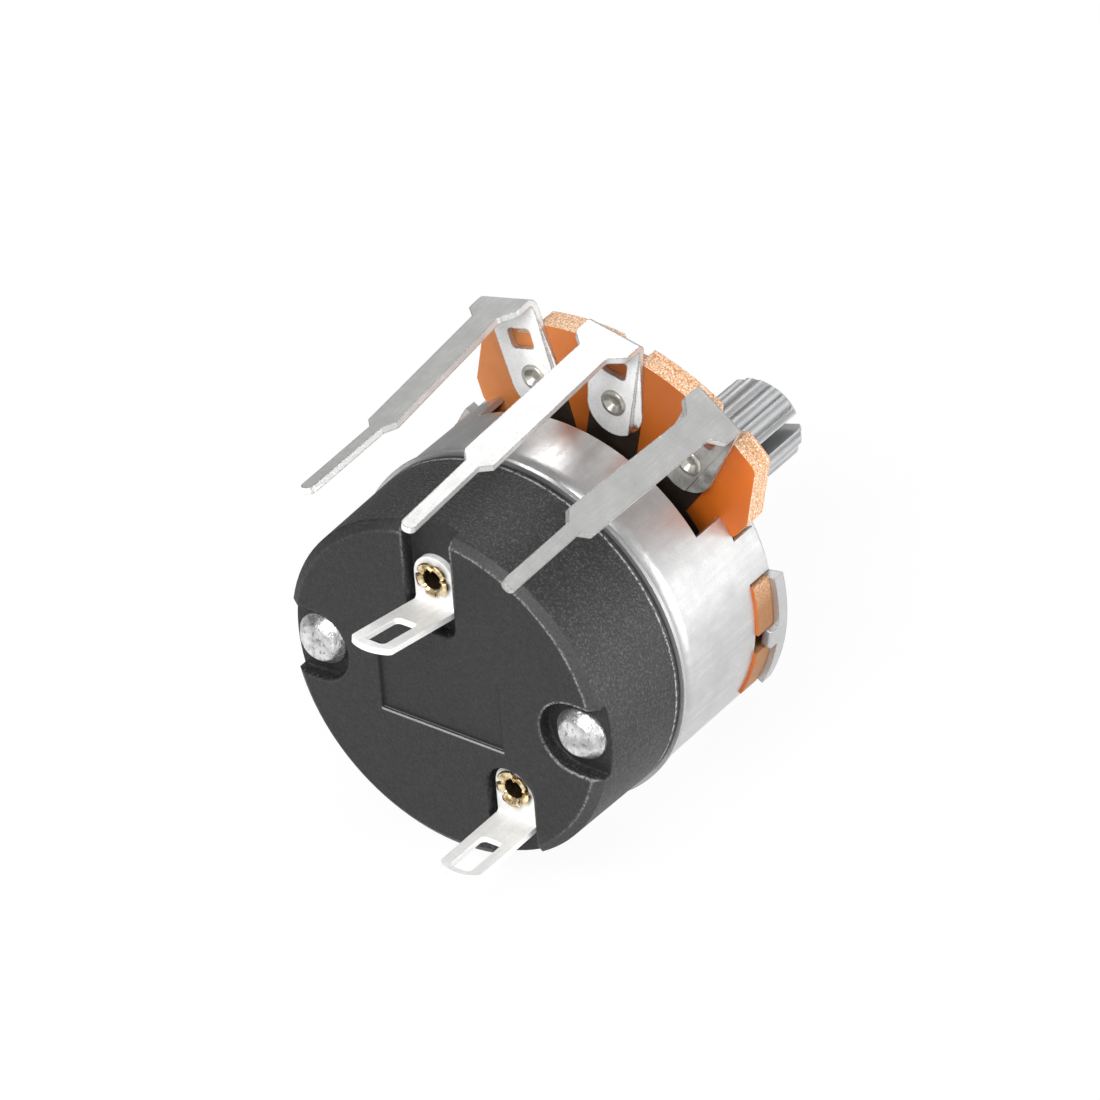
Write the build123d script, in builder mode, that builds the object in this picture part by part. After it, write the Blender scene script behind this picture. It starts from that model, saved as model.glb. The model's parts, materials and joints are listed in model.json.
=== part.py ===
"""Switched rotary potentiometer, 24 mm body, knurled 6 mm shaft, on/off switch on its back.

Millimetres. The origin is on the shaft's axis, on the face that the panel touches.
+Y runs along the shaft to the knob, +Z towards the middle terminal.
Depths are measured rearward from the panel face, so a depth d lies at Y = -d.
Angles are measured from the top, and grow towards +X as seen from the rear.
"""

import os
from math import cos, radians, sin

from build123d import *

# Body, from the panel face to the switch's back
can_diameter = 24.0
can_wall = 0.4
can_length = 9.25
can_shoulder_radius = 1.1
panel_rise = 0.4
plate_thickness = 0.9
board_thickness = 1.65
base_plate_thickness = 0.3
base_plate_overhang = 0.2
housing_length = 7.95
housing_front_diameter = 23.9
housing_rear_diameter = 23.5
housing_front_chamfer = 0.15

# Stations along the axis
plate_rear = panel_rise + plate_thickness
board_rear = plate_rear + board_thickness
can_rear = plate_rear + can_length
can_inside_rear = can_rear - can_wall
housing_front = can_rear + base_plate_thickness
housing_rear = housing_front + housing_length

# Shaft and bushing
shaft_diameter = 6.0
shaft_length = 15.75
running_clearance = 0.04
seat_clearance = 0.05
bushing_diameter = 9.0
bushing_length = 7.0
bushing_chamfer = 0.5
spigot_diameter = 8.0
stake_diameter = 9.4
stake_thickness = 0.5
knurl_length = 8.8
knurl_teeth = 18
knurl_depth = 0.34
knurl_crest_radius = 0.46
shaft_chamfer = 0.45
slot_width = 1.0
slot_length = 8.0
slot_turn = 29.0
clip_thickness = 0.6
clip_diameter = 8.4
clip_groove_diameter = 4.7
clip_gap = 3.4
tail_diameter = 5.2
tail_flats = 4.0
tail_head_rise = 0.55

# Front plate
panel_disc_diameter = 18.0
ear_radius = 12.6
ear_start, ear_end = 68.5, 107.5
tongue_width = 1.35
tongue_height = 0.53
tongue_thickness = 0.75
tongue_rear = 2.1

# Can openings, as angles from the top
can_front = 0.9
low_edge_angle = 43.5
low_edge_depth = 5.5
notch_angle = 52.0
window_start, window_end = 66.5, 109.5
tab_angles = (128.0, 162.0)
tab_width = 2.6
tab_reach = 1.7
drive_opening_diameter = 14.0
stop_radius = 7.2
stop_half_angle = 17.0
stop_length = 2.95

# Terminal board
board_arc_radius = 16.85
board_half_width = 10.15
board_side_bottom = 9.1
board_ear_tip = (9.3, 7.5)
board_ear_root = (8.25, 8.5)
board_wing_rise = 0.2
board_slot_bottom = 11.2
board_slot_play = 0.1
board_bore_diameter = 10.0
terminal_pitch_angle = 26.0
notch_top, notch_bottom, notch_depth = 2.3, 1.4, 0.75

# Resistance element
track_outer, track_band = 19.4, 2.4
ring_outer, ring_band = 13.0, 1.2
film_thickness = 0.08
track_gap_angle = 24.0
pad_width, pad_inner, pad_outer = 3.6, 9.0, 11.9
ring_arm_width, ring_arm_end = 3.7, 12.2
pad_gap = 0.05

# Terminals, from left to right as seen from the rear
terminal_names = ("left", "center", "right")
terminal_angles = (-terminal_pitch_angle, 0.0, terminal_pitch_angle)
strip_slopes = (3.4, 3.8, 0.4)
shoulder_shifts = (0.45, -0.45, -1.1)
tip_shifts = (0.1, -0.3, -1.0)
head_shifts = (-0.3, -0.6, -0.9)
fold_radii = (18.85, 18.6, 18.6)
head_width = 3.8
terminal_metal = 0.45
blade_width = 3.8
blade_bottom_radius = 10.9
blade_rivet_radius = 13.3
fold_bend = 0.75
window_width, window_height, window_centre = 1.75, 1.4, 15.95
head_length = 1.9
neck_width = 2.0
strip_width = 2.2
strip_end_depth = 18.1
pin_width = 0.95
pin_tip_depth = 24.9
terminal_rivet_shank = 1.2
terminal_rivet_head = 1.75
terminal_rivet_rise = 0.2
terminal_rivet_dish = 1.2
terminal_rivet_dish_depth = 0.35
terminal_rivet_dish_slope = 40.0

# Switch housing, in axes turned with its rivets
switch_turn = 11.65
housing_floor = 2.2
housing_bore_diameter = 21.4
housing_edge_drop = 0.45
housing_edge_inset = 0.6
insulator_thickness = 0.25
rivet_offset = 9.7
rivet_shank = 2.2
rivet_head = 3.5
rivet_head_rise = 0.95
rivet_rim_rise = 0.25
rivet_head_slope = 38.0
rivet_crown_radius = 0.4
rivet_pocket_width = 5.1
rivet_boss_diameter = 4.8
rivet_clinch = 3.2
rivet_clinch_thickness = 0.55
pocket_depth = 1.0
lug_pocket_width = 3.6
upper_pocket_end = 4.2
panel_x, panel_z, panel_width, panel_height, panel_depth = -0.3, -0.45, 9.1, 4.95, 0.15

# Switch lugs and eyelets, the upper one first
lug_names = ("upper", "lower")
lug_spots = ((-0.44, 7.85), (4.5, -5.85))
lug_bends = (2.35, 2.7)
lug_reaches = (7.5, 6.9)
lug_tilts = (10.0, 0.5)
lug_slot_starts = (3.3, 3.0)
lug_metal = 0.4
lug_width = 3.0
lug_bend_radius = 0.6
lug_slot_width, lug_slot_length, lug_slot_corner = 1.55, 3.5, 0.35
lug_tip_rise = 0.5
lug_tip_corner = 0.45
eyelet_bore = 1.2
eyelet_shank = 1.8
eyelet_flare = 2.7
eyelet_rise = 0.5

# Rotor, wiper and drive plate
rotor_diameter = 19.2
rotor_gap = 1.65
rotor_front = board_rear + rotor_gap
rotor_thickness = 1.8
rotor_rear = rotor_front + rotor_thickness
rotor_hub_diameter = 8.0
rotor_hub_front = board_rear + 0.45
rotor_hub_rear = rotor_rear + 1.6
rib_width = 0.8
rib_half_angle = 12.6
rib_length = 2.6
wiper_metal = 0.22
wiper_gap = 0.06
finger_width = 0.9
finger_reach = 1.9
finger_pad = 0.3
wiper_start, wiper_end = 125.0, 235.0
drive_metal = 0.6
dog_width = 1.3
dog_overlap = 1.85
shaft_travel = 150.0

# Switch lever, its contacts and its snap spring
pivot_margin = 0.33
pivot_angle = 227.3
post_diameter = 1.8
lever_play = 0.3
lever_hub_diameter = 3.2
fork_distance = 3.27
lever_swing = 12.0
prong_angle = 36.0
prong_length = 3.7
prong_width = 0.8
prong_thickness = 1.5
arm_turn = -21.3
arm_length = 9.3
arm_width = 1.4
arm_gap = 0.4
arm_thickness = 2.6
contact_gap = 0.15
contact_metal = 0.35
contact_strip_width = 2.2
spring_arm_turn = 72.7
spring_arm_length = 2.4
spring_seat_distance = 4.9
spring_metal = 0.2
spring_bead = 0.5
spring_clearance = 0.12


def rear_face(depth):
    """Plane across the axis at a depth; its normal points to the rear, its y axis up."""
    return Plane.XZ.offset(depth)


def turned_face(depth, turn):
    """The same plane turned about its normal, anticlockwise as seen from the rear."""
    return Plane(Plane.XZ.offset(depth) * Rot(0, 0, turn))


def switch_face(depth):
    """The same plane, turned with the switch's rivets."""
    return turned_face(depth, switch_turn)


def from_top(radius, angle):
    """Point at a radius and an angle from the top, in a rear_face plane."""
    return (radius * sin(radians(angle)), radius * cos(radians(angle)))


def at(radius, angle):
    """Point at a radius and an angle from the x axis of a plane."""
    return (radius * cos(radians(angle)), radius * sin(radians(angle)))


def sector(radius, start, end, mode=Mode.ADD):
    """Pie slice between two angles from the top."""
    first, last = from_top(radius, start), from_top(radius, end)
    with BuildLine() as outline:
        Line((0, 0), first)
        ThreePointArc(first, from_top(radius, (start + end) / 2), last)
        Line(last, (0, 0))
    make_face(outline.edges(), mode=mode)


def finish(builder, name):
    """Label a piece and write it out."""
    builder.part.label = name
    export_step(builder.part, f"parts/{name}.step")


os.makedirs("parts", exist_ok=True)
shaft_radius = shaft_diameter / 2
can_radius = can_diameter / 2
can_inner_radius = can_radius - can_wall
plate_radius = can_inner_radius - seat_clearance
bore_radius = shaft_radius + running_clearance
board_wing_radius = can_radius + board_wing_rise
track_inner = track_outer - 2 * track_band
ring_inner = ring_outer - 2 * ring_band
pivot_radius = housing_bore_diameter / 2 - lever_hub_diameter / 2 - pivot_margin
dog_radius = pivot_radius - fork_distance

# Front plate: pressed panel face, with ears at the sides whose tongues are bent rearward
with BuildPart() as front_plate:
    with BuildSketch(rear_face(panel_rise)):
        for side in (1, -1):
            sector(ear_radius, side * ear_start, side * ear_end)
        Circle(plate_radius)
    extrude(amount=plate_thickness)
    with BuildSketch(rear_face(0)):
        Circle(panel_disc_diameter / 2)
    extrude(amount=panel_rise)
    with BuildSketch(rear_face(plate_thickness)):
        Circle(panel_disc_diameter / 2 - plate_thickness / 2)
    extrude(amount=panel_rise, mode=Mode.SUBTRACT)
    panel_rims = front_plate.edges().filter_by(GeomType.CIRCLE).group_by(Axis.Y)[-1]
    fillet(panel_rims, panel_rise * 0.6)
    with BuildSketch(rear_face(panel_rise + 0.2)):
        with Locations((ear_radius, tongue_height), (-ear_radius, tongue_height)):
            Rectangle(2 * tongue_thickness, tongue_width)
        Circle(ear_radius, mode=Mode.INTERSECT)
    extrude(amount=tongue_rear - panel_rise - 0.2)
    fillet(front_plate.faces().filter_by(Axis.Y).sort_by(Axis.Y)[:2].edges(), 0.2)
    with BuildSketch(rear_face(0)):
        Circle(spigot_diameter / 2 + seat_clearance / 2)
    extrude(amount=plate_rear, mode=Mode.SUBTRACT)
finish(front_plate, "front_plate")

# Bushing: barrel for the panel nut, spigot through the plate and staked collar behind it
spigot_rear = plate_thickness
stake_rear = spigot_rear + stake_thickness
with BuildPart() as bushing:
    with BuildSketch(Plane.XY):
        with BuildLine():
            Polyline(
                (bore_radius, bushing_length),
                (bushing_diameter / 2 - bushing_chamfer, bushing_length),
                (bushing_diameter / 2, bushing_length - bushing_chamfer),
                (bushing_diameter / 2, 0),
                (spigot_diameter / 2, 0),
                (spigot_diameter / 2, -spigot_rear),
                (stake_diameter / 2, -spigot_rear),
                (stake_diameter / 2 - 0.3, -stake_rear),
                (bore_radius, -stake_rear),
                close=True,
            )
        make_face()
    revolve(axis=Axis.Y)
finish(bushing, "bushing")

# Shaft: knurled split end, plain journal, clip groove and flatted tail with a staked head
clip_front = stake_rear + seat_clearance
tail_end = rotor_hub_rear + drive_metal
knob_end = -shaft_length
crest_turn = slot_turn + 180 / knurl_teeth
with BuildPart() as shaft:
    with BuildSketch(rear_face(knob_end)):
        Circle(shaft_radius)
    extrude(amount=rotor_hub_front - knob_end)
    chamfer(shaft.faces().sort_by(Axis.Y)[-1].edges(), shaft_chamfer)
    with BuildSketch(rear_face(rotor_hub_front)):
        Circle(tail_diameter / 2)
        Rectangle(tail_diameter, tail_flats, mode=Mode.INTERSECT)
    extrude(amount=tail_end - rotor_hub_front)
    with BuildSketch(rear_face(tail_end)):
        Circle(tail_diameter / 2 + 0.3)
    extrude(amount=tail_head_rise)
    chamfer(shaft.faces().sort_by(Axis.Y)[0].edges(), tail_head_rise * 0.6)
    with BuildSketch(rear_face(clip_front)):
        Circle(shaft_radius + 1)
        Circle(clip_groove_diameter / 2, mode=Mode.SUBTRACT)
    extrude(amount=clip_thickness, mode=Mode.SUBTRACT)
    with BuildSketch(rear_face(knob_end)):
        Circle(shaft_radius + 1)
        Circle(shaft_radius - knurl_depth, mode=Mode.SUBTRACT)
        crest_centre = shaft_radius - knurl_crest_radius
        with PolarLocations(crest_centre, knurl_teeth, start_angle=crest_turn):
            Circle(knurl_crest_radius, mode=Mode.SUBTRACT)
    extrude(amount=knurl_length, mode=Mode.SUBTRACT)
    with BuildSketch(rear_face(knob_end)):
        Rectangle(shaft_diameter + 1, slot_width, rotation=slot_turn)
    extrude(amount=slot_length, mode=Mode.SUBTRACT)
finish(shaft, "shaft")

# Retaining clip: open ring in the shaft's groove
with BuildPart() as retaining_clip:
    with BuildSketch(rear_face(clip_front)) as clip_outline:
        Circle(clip_diameter / 2)
        Circle(clip_groove_diameter / 2 + seat_clearance / 2, mode=Mode.SUBTRACT)
        with Locations((0, -clip_diameter / 2)):
            Rectangle(clip_gap, clip_diameter, mode=Mode.SUBTRACT)
        fillet(clip_outline.vertices(), 0.25)
    extrude(amount=clip_thickness - seat_clearance)
finish(retaining_clip, "retaining_clip")

# Terminal board: disc in the can, wings in its side windows and a fan that carries the terminals
with BuildPart() as terminal_board:
    with BuildSketch(rear_face(plate_rear)) as board_outline:
        tip_x, tip_z = board_ear_tip
        root_x, root_z = board_ear_root
        Polygon(
            (-root_x, root_z), (-tip_x, tip_z), (-board_half_width, board_side_bottom),
            (-board_half_width, board_arc_radius), (board_half_width, board_arc_radius),
            (board_half_width, board_side_bottom), (tip_x, tip_z), (root_x, root_z),
        )
        Circle(board_arc_radius, mode=Mode.INTERSECT)
        fillet(board_outline.vertices().group_by(Axis.Y)[-1], 0.7)
        fillet(board_outline.vertices().group_by(Axis.Y)[0], 0.4)
        for side in (1, -1):
            sector(board_wing_radius, side * (window_start + 1), side * (window_end - 1))
        Circle(plate_radius)
        slot_depth = board_wing_radius - board_slot_bottom
        with Locations((board_wing_radius, tongue_height), (-board_wing_radius, tongue_height)):
            Rectangle(2 * slot_depth, tongue_width + board_slot_play, mode=Mode.SUBTRACT)
        for angle in terminal_angles:
            with Locations(Location((*from_top(board_arc_radius, angle), 0), (0, 0, -angle))):
                Polygon(
                    (-notch_top / 2, 0.3), (-notch_top / 2, 0), (-notch_bottom / 2, -notch_depth),
                    (notch_bottom / 2, -notch_depth), (notch_top / 2, 0), (notch_top / 2, 0.3),
                    mode=Mode.SUBTRACT,
                )
            with Locations(from_top(blade_rivet_radius, angle)):
                Circle(terminal_rivet_shank / 2 + seat_clearance / 2, mode=Mode.SUBTRACT)
        Circle(board_bore_diameter / 2, mode=Mode.SUBTRACT)
    extrude(amount=board_thickness)
finish(terminal_board, "terminal_board")

# Resistance track and collector ring on the board's rear face, printed up to the terminals' blades
round_centre = blade_bottom_radius + blade_width / 2
with BuildPart() as resistance_track:
    with BuildSketch(rear_face(board_rear)):
        Circle(track_outer / 2)
        Circle(track_inner / 2, mode=Mode.SUBTRACT)
        sector(track_outer, -track_gap_angle, track_gap_angle, mode=Mode.SUBTRACT)
        for angle in (-terminal_pitch_angle, terminal_pitch_angle):
            pad_middle = from_top((pad_inner + pad_outer) / 2, angle)
            with Locations(Location((*pad_middle, 0), (0, 0, -angle))):
                Rectangle(pad_width, pad_outer - pad_inner)
            with Locations(from_top(round_centre, angle)):
                Circle(blade_width / 2 + pad_gap, mode=Mode.SUBTRACT)
    extrude(amount=film_thickness)
finish(resistance_track, "resistance_track")

with BuildPart() as collector_ring:
    with BuildSketch(rear_face(board_rear)):
        Circle(ring_outer / 2)
        with Locations((0, ring_arm_end / 2)):
            Rectangle(ring_arm_width, ring_arm_end)
        Circle(ring_inner / 2, mode=Mode.SUBTRACT)
        with Locations((0, round_centre)):
            Circle(blade_width / 2 + pad_gap, mode=Mode.SUBTRACT)
    extrude(amount=film_thickness)
finish(collector_ring, "collector_ring")

# Terminals: blade riveted to the board, folded rearward into a headed strip that ends in a pin
blade_rear = board_rear + terminal_metal
strip_end = strip_end_depth - board_rear
pin_end = pin_tip_depth - board_rear
for name, angle, slope, shift, tip_shift, head_shift, fold_radius in zip(
    terminal_names, terminal_angles, strip_slopes, shoulder_shifts, tip_shifts, head_shifts, fold_radii
):
    blade_plane = turned_face(board_rear, -angle)
    side_plane = Plane(origin=blade_plane.origin, x_dir=blade_plane.y_dir, z_dir=blade_plane.x_dir)
    fold_corner = blade_plane.from_local_coords((0, fold_radius, 0))
    strip_plane = Plane(origin=fold_corner, x_dir=blade_plane.x_dir, z_dir=-blade_plane.y_dir)
    half_metal = terminal_metal / 2
    fold = (fold_radius - half_metal, half_metal)
    head_left, head_right = head_shift - head_width / 2, head_shift + head_width / 2
    with BuildPart() as terminal:
        with BuildSketch(side_plane):
            with BuildLine():
                FilletPolyline(
                    (blade_bottom_radius, half_metal),
                    fold,
                    (fold[0] - pin_end * sin(radians(slope)), fold[1] + pin_end * cos(radians(slope))),
                    radius=fold_bend - half_metal,
                )
            trace(line_width=terminal_metal)
        extrude(amount=blade_width, both=True)
        with BuildSketch(Plane(strip_plane * Rot(slope, 0, 0))) as strip:
            Polygon(
                (-blade_width, -1), (blade_width, -1), (blade_width, terminal_metal),
                (head_right, terminal_metal), (head_right, head_length),
                (neck_width / 2 + head_shift, head_length + 0.8),
                (strip_width / 2 + shift, strip_end - 0.7), (pin_width / 2 + shift, strip_end),
                (pin_width / 2 + tip_shift, pin_end), (-pin_width / 2 + tip_shift, pin_end),
                (-pin_width / 2 + shift, strip_end), (-strip_width / 2 + shift, strip_end - 0.7),
                (-neck_width / 2 + head_shift, head_length + 0.8), (head_left, head_length),
                (head_left, terminal_metal), (-blade_width, terminal_metal),
            )
            fillet(strip.vertices().group_by(Axis.Y)[-1], pin_width * 0.42)
            throat = strip.vertices().filter_by_position(Axis.Y, head_length - 0.1, head_length + 0.9)
            fillet(throat, 0.45)
        extrude(amount=fold_radius - blade_bottom_radius + 1, both=True, mode=Mode.INTERSECT)
        bend_start = fold_radius - fold_bend
        with BuildSketch(blade_plane):
            with Locations((0, round_centre)):
                Circle(blade_width / 2)
            Polygon(
                (-blade_width / 2, round_centre), (blade_width / 2, round_centre),
                (head_right, bend_start), (head_right, 2 * fold_radius),
                (head_left, 2 * fold_radius), (head_left, bend_start),
            )
        extrude(amount=pin_end + 1, both=True, mode=Mode.INTERSECT)
        with BuildSketch(blade_plane):
            with Locations((head_shift / 2, window_centre)):
                RectangleRounded(window_width, window_height, 0.3)
            with Locations((0, blade_rivet_radius)):
                Circle(terminal_rivet_shank / 2 + seat_clearance / 2)
        extrude(amount=terminal_metal, mode=Mode.SUBTRACT)
    finish(terminal, f"terminal_{name}")

    with BuildPart() as terminal_rivet:
        with BuildSketch(rear_face(blade_rear)):
            with Locations(from_top(blade_rivet_radius, angle)):
                Circle(terminal_rivet_head / 2)
        extrude(amount=terminal_rivet_rise)
        fillet(terminal_rivet.faces().sort_by(Axis.Y)[0].edges(), terminal_rivet_rise * 0.7)
        with BuildSketch(rear_face(plate_rear)):
            with Locations(from_top(blade_rivet_radius, angle)):
                Circle(terminal_rivet_shank / 2)
        extrude(amount=blade_rear - plate_rear)
        with BuildSketch(rear_face(plate_rear - terminal_rivet_rise)):
            with Locations(from_top(blade_rivet_radius, angle)):
                Circle(terminal_rivet_head / 2)
        extrude(amount=terminal_rivet_rise)
        with BuildSketch(rear_face(blade_rear + terminal_rivet_rise)):
            with Locations(from_top(blade_rivet_radius, angle)):
                Circle(terminal_rivet_dish / 2)
        extrude(amount=-terminal_rivet_dish_depth, taper=terminal_rivet_dish_slope, mode=Mode.SUBTRACT)
    finish(terminal_rivet, f"terminal_rivet_{name}")

# Can: drawn cup, opened at the terminals and at both sides, with tabs folded over the plate
rivet_spots = ((rivet_offset, 0), (-rivet_offset, 0))
hole_clearance = seat_clearance / 2
with BuildPart() as can:
    with BuildSketch(rear_face(can_front)):
        Circle(can_radius)
    extrude(amount=can_rear - can_front)
    fillet(can.faces().sort_by(Axis.Y)[0].edges(), can_shoulder_radius)
    offset(amount=-can_wall, openings=can.faces().sort_by(Axis.Y)[-1])
    with BuildSketch(rear_face(can_front)):
        sector(2 * can_radius, -low_edge_angle, low_edge_angle)
    extrude(amount=low_edge_depth - can_front, mode=Mode.SUBTRACT)
    with BuildSketch(rear_face(can_front)):
        for side in (1, -1):
            sector(2 * can_radius, side * low_edge_angle, side * notch_angle)
            sector(2 * can_radius, side * window_start, side * window_end)
    extrude(amount=board_rear - can_front, mode=Mode.SUBTRACT)
    for angle in tab_angles:
        for side in (1, -1):
            tab_plane = turned_face(0, -side * angle)
            with BuildSketch(tab_plane):
                with Locations((0, can_radius - 1)):
                    Rectangle(tab_width, 2)
                Circle(can_radius, mode=Mode.INTERSECT)
                Circle(can_inner_radius, mode=Mode.SUBTRACT)
            extrude(amount=can_front)
            with BuildSketch(tab_plane):
                with Locations((0, can_radius - tab_reach / 2)):
                    Rectangle(tab_width, tab_reach)
                Circle(can_radius, mode=Mode.INTERSECT)
            extrude(amount=panel_rise)
    with BuildSketch(rear_face(can_inside_rear - stop_length)):
        sector(stop_radius + can_wall / 2, -stop_half_angle, stop_half_angle)
        Circle(stop_radius - can_wall / 2, mode=Mode.SUBTRACT)
    extrude(amount=stop_length + can_wall / 2)
    with BuildSketch(switch_face(can_inside_rear)):
        Circle(drive_opening_diameter / 2)
        with Locations(*rivet_spots):
            Circle(rivet_shank / 2 + hole_clearance)
    extrude(amount=can_wall, mode=Mode.SUBTRACT)
    with BuildSketch(switch_face(can_inside_rear)):
        with Locations(*rivet_spots):
            Circle(rivet_clinch / 2 + seat_clearance)
    extrude(amount=-rivet_clinch_thickness, mode=Mode.SUBTRACT)
finish(can, "can")

# Base plate of the switch and the insulating disc on it
with BuildPart() as switch_base_plate:
    with BuildSketch(switch_face(can_rear)):
        Circle(can_radius + base_plate_overhang)
        Circle(drive_opening_diameter / 2, mode=Mode.SUBTRACT)
        with Locations(*rivet_spots):
            Circle(rivet_shank / 2 + hole_clearance, mode=Mode.SUBTRACT)
    extrude(amount=base_plate_thickness)
finish(switch_base_plate, "switch_base_plate")

housing_bore_radius = housing_bore_diameter / 2
with BuildPart() as insulating_disc:
    with BuildSketch(switch_face(housing_front)):
        Circle(housing_bore_radius - 2 * seat_clearance)
        Circle(drive_opening_diameter / 2, mode=Mode.SUBTRACT)
        with Locations(*rivet_spots):
            Circle(rivet_shank / 2 + hole_clearance, mode=Mode.SUBTRACT)
    extrude(amount=insulator_thickness)
finish(insulating_disc, "insulating_disc")

# Planes of the lever's pivot and of its spring's seat
floor_front = housing_rear - housing_floor
disc_rear = housing_front + insulator_thickness
pocket_floor = housing_rear - pocket_depth
fork_turn = pivot_angle - 180 - lever_swing
lever_turn = switch_turn + fork_turn


def lever_face(depth, turn=0.0):
    """Plane through the lever's pivot, its x axis along the fork with the switch closed."""
    pivot = switch_face(depth).from_local_coords((*at(pivot_radius, pivot_angle), 0))
    fork = turned_face(depth, lever_turn + turn)
    return Plane(origin=pivot, x_dir=fork.x_dir, z_dir=fork.z_dir)


def spring_face(depth):
    """Plane at the spring's seat, its x axis towards the end of the lever's spring arm."""
    middle = lever_face(depth, spring_arm_turn + lever_swing)
    seat = middle.from_local_coords((spring_seat_distance, 0, 0))
    tip = middle.from_local_coords((*at(spring_arm_length, -lever_swing), 0))
    return Plane(origin=seat, x_dir=tip - seat, z_dir=middle.z_dir)


# Switch housing: moulded cup with pockets for rivet heads and lugs on its back
arm_front = disc_rear + lever_play + prong_thickness + arm_gap
with BuildPart() as switch_housing:
    with BuildSketch(Plane.XY):
        with BuildLine():
            Polyline(
                (0, -housing_front),
                (housing_front_diameter / 2 - housing_front_chamfer, -housing_front),
                (housing_front_diameter / 2, -housing_front - housing_front_chamfer),
                (housing_rear_diameter / 2, -housing_rear + housing_edge_drop),
                (housing_rear_diameter / 2 - housing_edge_inset, -housing_rear),
                (0, -housing_rear),
                close=True,
            )
        make_face()
    revolve(axis=Axis.Y)
    with BuildSketch(switch_face(housing_front)):
        Circle(housing_bore_radius)
    extrude(amount=floor_front - housing_front, mode=Mode.SUBTRACT)
    with BuildSketch(switch_face(disc_rear)):
        with Locations(*rivet_spots):
            Circle(rivet_boss_diameter / 2)
        Circle(housing_bore_radius + 0.4, mode=Mode.INTERSECT)
    extrude(amount=floor_front - disc_rear)
    with BuildSketch(lever_face(disc_rear + lever_play)):
        Circle(post_diameter / 2)
    extrude(amount=floor_front - disc_rear - lever_play)
    with BuildSketch(switch_face(pocket_floor)) as pockets:
        with Locations(*rivet_spots):
            Circle(rivet_pocket_width / 2)
        with Locations((rivet_offset + can_radius / 2, 0), (-rivet_offset - can_radius / 2, 0)):
            Rectangle(can_radius, rivet_pocket_width)
        (upper_x, upper_z), (lower_x, lower_z) = lug_spots
        lower_round = lower_z + lug_width / 2 + 0.2
        with Locations((upper_x, upper_pocket_end + can_radius / 2)):
            RectangleRounded(lug_pocket_width, can_radius, 0.9)
        with Locations((upper_x, can_radius)):
            Rectangle(lug_pocket_width, can_radius / 2)
        with Locations((lower_x, lower_round - lug_pocket_width / 2)):
            Circle(lug_pocket_width / 2)
        with Locations((lower_x, lower_round - lug_pocket_width / 2 - can_radius / 2)):
            Rectangle(lug_pocket_width, can_radius)
    extrude(amount=pocket_depth, mode=Mode.SUBTRACT)
    with BuildSketch(switch_face(housing_rear - panel_depth)):
        with Locations((panel_x, panel_z)):
            Rectangle(panel_width, panel_height)
    extrude(amount=panel_depth, mode=Mode.SUBTRACT)
    with BuildSketch(switch_face(housing_front)):
        with Locations(*rivet_spots):
            Circle(rivet_shank / 2 + hole_clearance)
    extrude(amount=housing_length, mode=Mode.SUBTRACT)
    with BuildSketch(switch_face(floor_front)):
        with Locations(*lug_spots):
            Circle(eyelet_shank / 2 + hole_clearance)
    extrude(amount=housing_floor, mode=Mode.SUBTRACT)
    with BuildSketch(spring_face(arm_front)):
        Circle(spring_bead / 2 + spring_clearance)
    extrude(amount=floor_front - arm_front, mode=Mode.SUBTRACT)
finish(switch_housing, "switch_housing")

# Rivets through housing, plates and can, set inside the can
for name, spot in zip(("right", "left"), rivet_spots):
    with BuildPart() as rivet:
        with BuildSketch(switch_face(pocket_floor)):
            with Locations(spot):
                Circle(rivet_head / 2)
        extrude(amount=rivet_rim_rise)
        with BuildSketch(switch_face(pocket_floor + rivet_rim_rise)):
            with Locations(spot):
                Circle(rivet_head / 2)
        extrude(amount=rivet_head_rise - rivet_rim_rise, taper=rivet_head_slope)
        fillet(rivet.faces().sort_by(Axis.Y)[0].edges(), rivet_crown_radius)
        with BuildSketch(switch_face(can_inside_rear)):
            with Locations(spot):
                Circle(rivet_shank / 2)
        extrude(amount=pocket_floor - can_inside_rear)
        with BuildSketch(switch_face(can_inside_rear - rivet_clinch_thickness)):
            with Locations(spot):
                Circle(rivet_clinch / 2)
        extrude(amount=rivet_clinch_thickness)
        chamfer(rivet.faces().sort_by(Axis.Y)[-1].edges(), rivet_clinch_thickness * 0.6)
    finish(rivet, f"rivet_{name}")

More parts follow.
